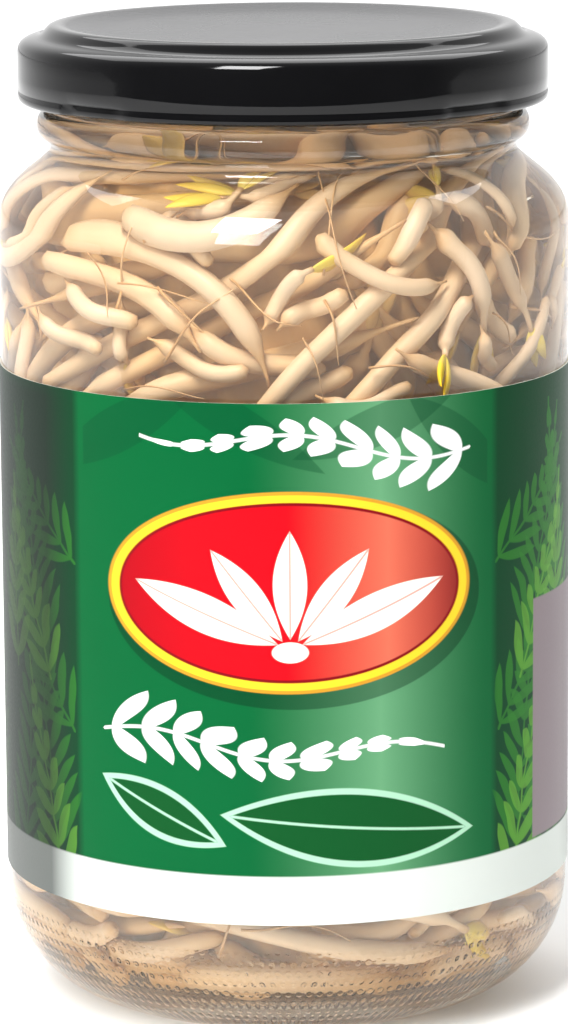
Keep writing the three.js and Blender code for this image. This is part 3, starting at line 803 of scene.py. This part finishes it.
def sealing_compound():
    material, nodes, shader = new_material("sealing_compound")
    tone, grain = mottled(nodes, 500.0, 4.0, rgb(222, 214, 194), rgb(204, 194, 172))
    nodes.feed(shader.inputs["Base Color"], tone)
    nodes.feed(shader.inputs["Roughness"], nodes.math("ADD", 0.55, nodes.math("MULTIPLY", grain, 0.25)))
    nodes.feed(shader.inputs["Normal"], nodes.bump(grain, 0.3, 0.0001))
    return material


class Print:
    """Flat artwork in millimetres: shapes are masks from 0 to 1, and inks are laid one over another."""

    def __init__(self, nodes, paper):
        self.nodes = nodes
        self.place = nodes.add("ShaderNodeUVMap", uv_map="flat").outputs[0]
        split = nodes.add("ShaderNodeSeparateXYZ", {"Vector": self.place})
        self.u = nodes.math("MULTIPLY", split.outputs[0], 100.0)
        self.v = nodes.math("MULTIPLY", split.outputs[1], 100.0)
        self.ink = paper

    def along(self, u, v, turn, size):
        """How far each place lies from a point, measured along one direction and divided by a size."""
        a, b = math.cos(math.radians(turn)) / size, math.sin(math.radians(turn)) / size
        start = -(u * a + v * b)
        if abs(a) < 1e-6:
            return self.nodes.math("MULTIPLY_ADD", self.v, b, start)
        if abs(b) > 1e-6:
            start = self.nodes.math("MULTIPLY_ADD", self.v, b, start)
        return self.nodes.math("MULTIPLY_ADD", self.u, a, start)

    def local(self, u, v, turn=0.0, wide=1.0, high=1.0):
        """Coordinates across and up from a point, turned by some degrees and divided by two sizes."""
        return self.along(u, v, turn, wide), self.along(u, v, turn + 90, high)

    def edge(self, inside, sharpness):
        """A mask that is 1 inside a shape and falls to 0 at its edge."""
        return self.nodes.math("MULTIPLY", inside, sharpness, clamp=True)

    def size(self, value):
        return self.nodes.math("ABSOLUTE", value)

    def both(self, *masks):
        mask = masks[0]
        for other in masks[1:]:
            mask = self.nodes.math("MULTIPLY", mask, other)
        return mask

    def either(self, *masks):
        mask = masks[0]
        for other in masks[1:]:
            mask = self.nodes.math("MAXIMUM", mask, other)
        return mask

    def lay(self, mask, ink, strength=1.0):
        """Prints one ink over what is there, where its mask says."""
        cover = mask if strength == 1.0 else self.nodes.math("MULTIPLY", mask, strength)
        self.ink = self.nodes.mix(cover, self.ink, ink)

    def oval(self, u, v, wide, high):
        x, y = self.local(u, v, 0.0, wide, high)
        away = self.nodes.length(x, y)
        return self.edge(self.nodes.math("SUBTRACT", 1.0, away), 7 * high)

    def leaf(self, u, v, turn, half_length, half_width, rib=None):
        """A leaf pointed at both ends, or only its midrib where half the rib's width is given."""
        x, y = self.local(u, v, turn, half_length, half_width)
        m = self.nodes.math
        reach = m("SUBTRACT", 1.0, m("MULTIPLY", x, x))
        if rib:
            reach = m("MINIMUM", reach, rib / half_width)
        return self.edge(m("SUBTRACT", reach, self.size(y)), 6 * half_width)

    def box(self, left, right, low, high, soft=0.25):
        x, y = self.local((left + right) / 2, (low + high) / 2)
        m = self.nodes.math
        across = self.edge(m("SUBTRACT", (right - left) / 2, self.size(x)), 1 / soft)
        return self.both(across, self.edge(m("SUBTRACT", (high - low) / 2, self.size(y)), 1 / soft))

    def glow(self, u, half, power=2.0):
        """A soft upright stripe."""
        x = self.along(u, 0, 0, half)
        m = self.nodes.math
        return m("POWER", m("SUBTRACT", 1.0, self.size(x), clamp=True), power)

    def frond(self, u, v, turn, length, reach, pitch, lean=1.1, wave=0.0):
        """A stem, straight or waved, with leaflets on both sides that get shorter towards its tip."""
        x, y = self.local(u, v, turn)
        m = self.nodes.math
        if wave:
            y = m("SUBTRACT", y, m("MULTIPLY", m("SINE", m("MULTIPLY", x, 0.2)), wave))
        out = self.size(y)
        wander = m("MULTIPLY", m("SINE", m("MULTIPLY", x, 0.55)), 0.35)
        run = m("ADD", m("SUBTRACT", x, m("MULTIPLY", out, lean)), wander)
        phase = m("FRACT", m("DIVIDE", run, pitch))
        limit = m("MULTIPLY", m("SUBTRACT", 1.0, m("DIVIDE", x, length), clamp=True), reach)
        taper = m("SUBTRACT", 1.0, m("DIVIDE", out, m("ADD", limit, 0.01)), clamp=True)
        half_width = m("MULTIPLY", m("MULTIPLY", taper, m("SUBTRACT", 1.12, taper)), 1.3)
        blades = self.edge(m("SUBTRACT", half_width, self.size(m("SUBTRACT", phase, 0.5))), 4 * pitch)
        stem = self.edge(m("SUBTRACT", 0.3, out), 5.0)
        along = m("MULTIPLY", m("GREATER_THAN", run, 0.0), m("LESS_THAN", x, length))
        return self.both(self.either(blades, stem), along)


# Places on the label are millimetres round from the middle of its front, and up from the jar's foot.
# Fronds at the sides: where each starts, its turn in degrees, its length, reach and pitch.
SIDE_FRONDS = [
    (34, 23, 84, 38, 8.5, 3.2), (46, 50, 98, 32, 8.5, 3.4), (36, 50, 74, 32, 7.5, 2.8),
    (58, 20, 95, 56, 9, 3.8), (30, 40, 52, 28, 7, 2.8), (30, 62, 40, 22, 7, 2.8), (43, 19, 96, 40, 9, 3.6),
]
BRIGHT_FRONDS = 4  # the first of them have a bright frond over them
# Leaves: the middle of each, its turn in degrees, half its length and half its width.
SHADOW_LEAVES = [
    (-22, 80.5, 28, 13, 3.0), (-7, 82.5, 150, 14, 2.6), (12, 81.5, 20, 12, 2.6), (24, 78, 140, 11, 2.8),
]
FOOT_LEAVES = [(8.5, 30.0, -6, 16.0, 4.4), (-16.5, 31.6, 156, 8.5, 2.6)]
BACK_LEAVES = [(83.5, 47, 82, 20, 5.6), (-81.5, 47, 98, 20, 5.6)]
MEDALLION_U, MEDALLION_V, MEDALLION_WIDE, MEDALLION_HIGH = 0.5, 60.5, 24.5, 13.0
FAN_LEAVES = [(22, 10.2, 2.5), (158, 10.2, 2.5), (52, 7.4, 2.1), (128, 7.4, 2.1), (90, 7.0, 2.2)]
CREAM, PALE_GREEN, LIGHT_GREEN = (250, 246, 232), (160, 206, 176), (98, 160, 52)
WHOLE_HEIGHT = (10, 90)  # from under the label's lower edge to over its upper one
WHITE_FOOT_TOP = 24.0


def printed_label():
    """Coated paper, plain on its back and printed on its front with leaves and a red medallion, with a
    painted sheen right of the middle and painted shade towards both sides.
    """
    material, nodes, shader = new_material("printed_label")
    art = Print(nodes, rgb(0, 92, 46))
    mottle = nodes.noise(art.place, 5.0, 3.0)
    art.lay(nodes.math("MULTIPLY", mottle, 0.3), rgb(0, 70, 36))
    leaf_ground = art.either(
        art.box(-70, -28.6, *WHOLE_HEIGHT, soft=1.2), art.box(28.6, 70, *WHOLE_HEIGHT, soft=1.2))
    art.lay(leaf_ground, rgb(0, 50, 26), 0.8)
    lay_side_fronds(art, leaf_ground, mottle)
    # Painted sheen: a pale upright stripe right of the middle, standing in for a highlight on the glossy
    # paper.
    art.lay(art.glow(12, 17, 1.6), rgb(120, 176, 132), 0.6)
    for place in SHADOW_LEAVES:
        art.lay(art.both(art.leaf(*place), art.box(-28, 28, *WHOLE_HEIGHT)), rgb(0, 66, 36), 0.45)
    lay_medallion(art)
    lay_white_sprays(art)
    lay_foot_leaves(art)
    lay_back(art)
    art.lay(art.box(-200, 200, WHOLE_HEIGHT[0], WHITE_FOOT_TOP), rgb(208, 214, 208))
    art.lay(art.box(37.6, 62, WHITE_FOOT_TOP, 56), rgb(136, 124, 128))
    # Painted shade: both sides of the label are darkened, the left one strongly, as if turned away from the
    # light; on the left it greys the white foot too.
    art.lay(art.box(-76, -28.5, *WHOLE_HEIGHT, soft=7), rgb(26, 30, 28), 0.82)
    art.lay(art.box(47, 80, *WHOLE_HEIGHT, soft=12), rgb(40, 42, 42), 0.45)
    nodes.feed(shader.inputs["Base Color"], art.ink)
    fibre = nodes.noise(art.place, 220.0, 2.0)
    relief = nodes.bump(fibre, 0.1, 0.00008)
    nodes.feed(shader.inputs["Roughness"], nodes.math("ADD", 0.34, nodes.math("MULTIPLY", fibre, 0.12)))
    nodes.feed(shader.inputs["Specular IOR Level"], 0.08)
    nodes.feed(shader.inputs["Normal"], relief)
    paper = nodes.add("ShaderNodeBsdfDiffuse", {"Normal": relief})
    nodes.feed(paper.inputs["Color"], nodes.mix(fibre, rgb(232, 230, 222), rgb(214, 212, 202)))
    sides = nodes.add("ShaderNodeMixShader")
    nodes.feed(sides.inputs[0], nodes.add("ShaderNodeAttribute", attribute_name="back").outputs["Fac"])
    nodes.feed(sides.inputs[1], shader)
    nodes.feed(sides.inputs[2], paper)
    nodes.feed(material.node_tree.nodes["Material Output"].inputs["Surface"], sides)
    return material


def lay_side_fronds(art, ground, wander):
    """Two shades of fronds on the dark grounds, drawn once for both sides and bent a little differently."""
    across = art.u
    art.u = art.nodes.math("MULTIPLY_ADD", wander, 5.0, art.nodes.math("SUBTRACT", art.size(across), 2.5))
    for u, v, turn, length, reach, pitch in SIDE_FRONDS:
        art.lay(art.both(art.frond(u, v, turn, length, reach, pitch), ground), rgb(40, 112, 36), 0.8)
    for u, v, turn, length, reach, pitch in SIDE_FRONDS[:BRIGHT_FRONDS]:
        bright = art.frond(u - 1.5, v - 4, turn - 9, length * 0.8, reach * 0.8, pitch * 1.2)
        art.lay(art.both(bright, ground), rgb(*LIGHT_GREEN), 0.6)
    art.u = across


def lay_medallion(art):
    """A red oval in a gold rim, on its own soft shadow, with a painted sheen right of its middle and a fan
    of leaves in the middle.
    """
    u, v, wide, high = MEDALLION_U, MEDALLION_V, MEDALLION_WIDE, MEDALLION_HIGH
    shadow = art.nodes.math("MULTIPLY", art.oval(u + 0.8, v - 1.2, wide + 0.8, high + 0.8), 0.55)
    art.lay(shadow, rgb(0, 40, 22))
    art.lay(art.oval(u, v, wide, high), rgb(196, 140, 40))
    art.lay(art.oval(u, v, wide - 0.5, high - 0.45), rgb(236, 196, 44))
    art.lay(art.oval(u, v, wide - 1.7, high - 1.4), rgb(120, 8, 20))
    field = art.oval(u, v, wide - 2.1, high - 1.8)
    art.lay(art.both(field, art.glow(-4, 26, 0.8)), rgb(200, 6, 22))
    # Painted sheen: the label's pale stripe carried over the red field.
    art.lay(art.both(field, art.glow(13, 13, 1.4)), rgb(224, 120, 92), 0.7)
    for turn, reach, half_width in FAN_LEAVES:
        across, up = math.cos(math.radians(turn)), math.sin(math.radians(turn))
        place = u + across * (reach + 1.5), v - 7.0 + up * (reach + 1.0), turn, reach, half_width
        art.lay(art.leaf(*place), rgb(*CREAM))
        art.lay(art.leaf(*place, rib=0.22), rgb(196, 60, 44), 0.7)
    art.lay(art.oval(u, v - 7.6, 2.4, 1.4), rgb(*CREAM))


def lay_white_sprays(art):
    """Two waved white sprays, one above the medallion and one below it."""
    for u, v, turn, length, reach in ((25.0, 77.6, 176, 44, 5.0), (-25.0, 41.5, -3, 46, 5.6)):
        spray = art.frond(u, v, turn, length, reach, pitch=4.3, lean=0.9, wave=1.3)
        art.lay(spray, rgb(236, 240, 236))


def lay_foot_leaves(art):
    """Pale-edged leaves above the white foot of the label, a long one and a short one."""
    for u, v, turn, half_length, half_width in FOOT_LEAVES:
        art.lay(art.leaf(u, v, turn, half_length + 1.2, half_width + 0.8), rgb(*PALE_GREEN))
        art.lay(art.leaf(u, v, turn, half_length, half_width), rgb(8, 76, 32))
        art.lay(art.leaf(u, v, turn, half_length, half_width, rib=0.25), rgb(*PALE_GREEN))


def lay_back(art):
    """A blank cream panel on the back, with a large leaf at each side of it."""
    art.lay(art.box(96, 134, 31, 78), rgb(98, 160, 92))
    art.lay(art.box(96.8, 133.2, 31.8, 77.2), rgb(206, 206, 186))
    for u, v, turn, half_length, half_width in BACK_LEAVES:
        art.lay(art.leaf(u, v, turn, half_length + 0.8, half_width + 0.6), rgb(*LIGHT_GREEN))
        art.lay(art.leaf(u, v, turn, half_length, half_width), rgb(24, 96, 36))
        art.lay(art.leaf(u, v, turn, half_length, half_width, rib=0.3), rgb(*LIGHT_GREEN))


# ------------------------ the scene

def dress(frame):
    flesh, room = sprout_flesh(), Room()
    loose_sprouts(frame, flesh, room)
    stands_for = [
        (glass_jar(jar_glass()), "jar", "glass", "jar"),
        (black_cap(black_lacquer()), "lid", "lacquer", "lid"),
        (seal_ring(sealing_compound()), "lid_seal", "compound", "seal"),
        (label_wrap(printed_label()), "label", "label", "jar"),
        (brine(brine_liquid()), "brine", "brine", "jar"),
        (packed_sprouts(STEM_SEED, flesh, room), "packed_sprouts", "sprout", "jar"),
        (root_threads(THREAD_SEED, flesh), "packed_sprouts", "sprout", "jar"),
        (filling_core(flesh), "packed_sprouts", "sprout", "jar"),
    ]
    for piece, node, slot, body in stands_for:
        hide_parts(node)
        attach(piece, body)


def area_light(name, azimuth, elevation, distance, width, height, watts):
    """A softbox that faces the middle of the jar. Azimuth 0 is in front, and positive is to the right."""
    light = bpy.data.lights.new(name, "AREA")
    light.shape, light.size, light.size_y = "RECTANGLE", width, height
    light.energy = watts
    lamp = bpy.data.objects.new(name, light)
    a, e = math.radians(azimuth), math.radians(elevation)
    centre = Vector((0, 0, 0.07))
    towards = Vector((math.sin(a) * math.cos(e), -math.cos(a) * math.cos(e), math.sin(e)))
    lamp.location = centre + distance * towards
    lamp.rotation_euler = (centre - lamp.location).to_track_quat("-Z", "Y").to_euler()
    bpy.context.scene.collection.objects.link(lamp)
    return lamp


def pale_floor():
    """A floor that lies a hair under the jar's foot, and reaches further behind it than in front."""
    half, ahead, hair = 2.5, 0.3, 0.0002
    bm = bmesh.new()
    bmesh.ops.create_grid(bm, x_segments=8, y_segments=8, size=half)
    bmesh.ops.translate(bm, verts=bm.verts, vec=(0, half - ahead, -hair))
    material, nodes, shader = new_material("floor_paint")
    tone, _ = mottled(nodes, 30.0, 3.0, (0.86, 0.86, 0.86, 1), (0.9, 0.9, 0.9, 1))
    nodes.feed(shader.inputs["Base Color"], tone)
    nodes.feed(shader.inputs["Roughness"], 0.7)
    finish_mesh("floor", bm, material)


def studio():
    """White behind and dim in front, as a pale wall behind the jar and a dark room before it would be."""
    world = bpy.data.worlds.new("studio")
    bpy.context.scene.world = world
    world.use_nodes = True
    world.cycles.sampling_method = "NONE"
    nodes = Nodes(world.node_tree)
    path = nodes.add("ShaderNodeLightPath")
    seen = nodes.math("MAXIMUM", path.outputs["Is Camera Ray"], path.outputs["Is Transmission Ray"])
    sky = nodes.add("ShaderNodeTexCoord").outputs["Generated"]
    direction = nodes.add("ShaderNodeSeparateXYZ", {"Vector": sky})
    backwards = nodes.math("ADD", nodes.math("MULTIPLY", direction.outputs[1], 0.8), 0.35, clamp=True)
    mirrored = nodes.math("ADD", backwards, 0.08)
    soft = nodes.math("MULTIPLY", path.outputs["Is Diffuse Ray"], 0.3)
    unseen = nodes.math("MAXIMUM", mirrored, soft)
    background = world.node_tree.nodes["Background"]
    nodes.feed(background.inputs["Color"], (1, 1, 1, 1))
    strength = nodes.math("MAXIMUM", nodes.math("MULTIPLY", seen, 1.05), unseen)
    nodes.feed(background.inputs["Strength"], strength)
    area_light("key_softbox", -22, 55, 0.9, 0.26, 0.46, 12.0)
    front_fill = area_light("front_fill", -36, 18, 1.0, 0.7, 0.7, 4.6)
    front_fill.visible_glossy = front_fill.visible_transmission = False
    floor_wash = area_light("floor_wash", 180, 50, 2.0, 2.4, 1.6, 34.0)
    floor_wash.rotation_euler = (0, 0, 0)  # straight down, behind the jar


def camera():
    data = bpy.data.cameras.new("view")
    data.sensor_fit, data.sensor_height, data.lens = "VERTICAL", 36.0, 167.66
    data.clip_end = 20
    view = bpy.data.objects.new("view", data)
    view.location = (0, -0.620, 0.1846)
    aim = Vector((-0.0002, 0, 0.06356))
    level = (aim - view.location).to_track_quat("-Z", "Y").to_matrix()
    view.rotation_euler = (level @ Matrix.Rotation(-0.006, 3, "Z")).to_euler()
    bpy.context.scene.collection.objects.link(view)
    bpy.context.scene.camera = view


dress(frame)
pale_floor()
studio()
camera()
scene = bpy.context.scene
scene.view_settings.view_transform = "Standard"
scene.cycles.max_bounces = 12
scene.cycles.diffuse_bounces = 4
scene.cycles.transmission_bounces = 10
scene.cycles.transparent_max_bounces = 12
scene.cycles.caustics_refractive = False
scene.cycles.caustics_reflective = False

bpy.context.view_layer.update()
